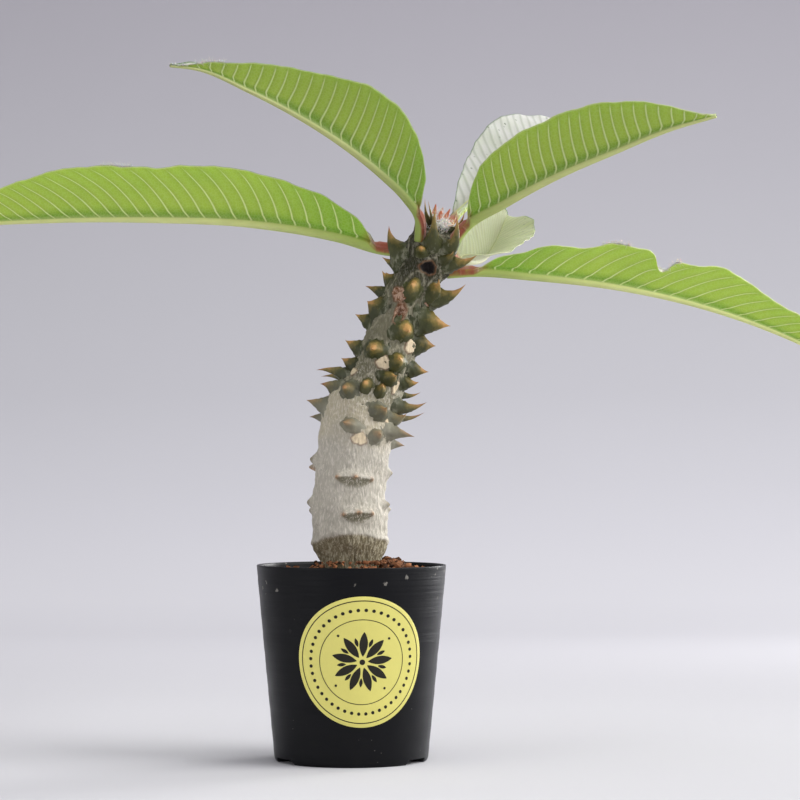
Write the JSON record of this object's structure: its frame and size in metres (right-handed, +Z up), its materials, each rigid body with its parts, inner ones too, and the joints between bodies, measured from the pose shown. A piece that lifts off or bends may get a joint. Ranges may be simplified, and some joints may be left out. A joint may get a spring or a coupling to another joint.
{
  "type": "potted succulent plant",
  "caption": "Small pachypodium in a plastic nursery pot: a leaning, spiny grey caudex topped by a rosette of long folded leaves.",
  "frame": {"origin": "centre of the pot's underside, on the surface the pot stands on", "axes": "+Z up, the label and the front of the plant look towards -Y, the stem leans towards +X and the leaves spread along X"},
  "size_m": [0.4816, 0.2315, 0.3248],
  "materials": {
    "pot_plastic": "thin black moulded plastic with a low sheen",
    "label_paper": null,
    "potting_mix": "coarse brown bark and coir chips",
    "bark": "dry grey bark, olive near the top, with brown-tipped spines",
    "leaf": "satin green leaf with a pale rib and veins",
    "young_leaf": "young reddish-orange folded leaf tips"
  },
  "bodies": {
    "root": {"pot": "pot_plastic", "label": "label_paper", "soil": "potting_mix", "stem": "bark", "leaf_left": "leaf", "leaf_upper_left": "leaf", "leaf_upper_right": "leaf", "leaf_right": "leaf", "leaf_back_upper": "leaf", "leaf_back_lower": "leaf", "young_leaves": "young_leaf"}
  },
  "joints": []
}
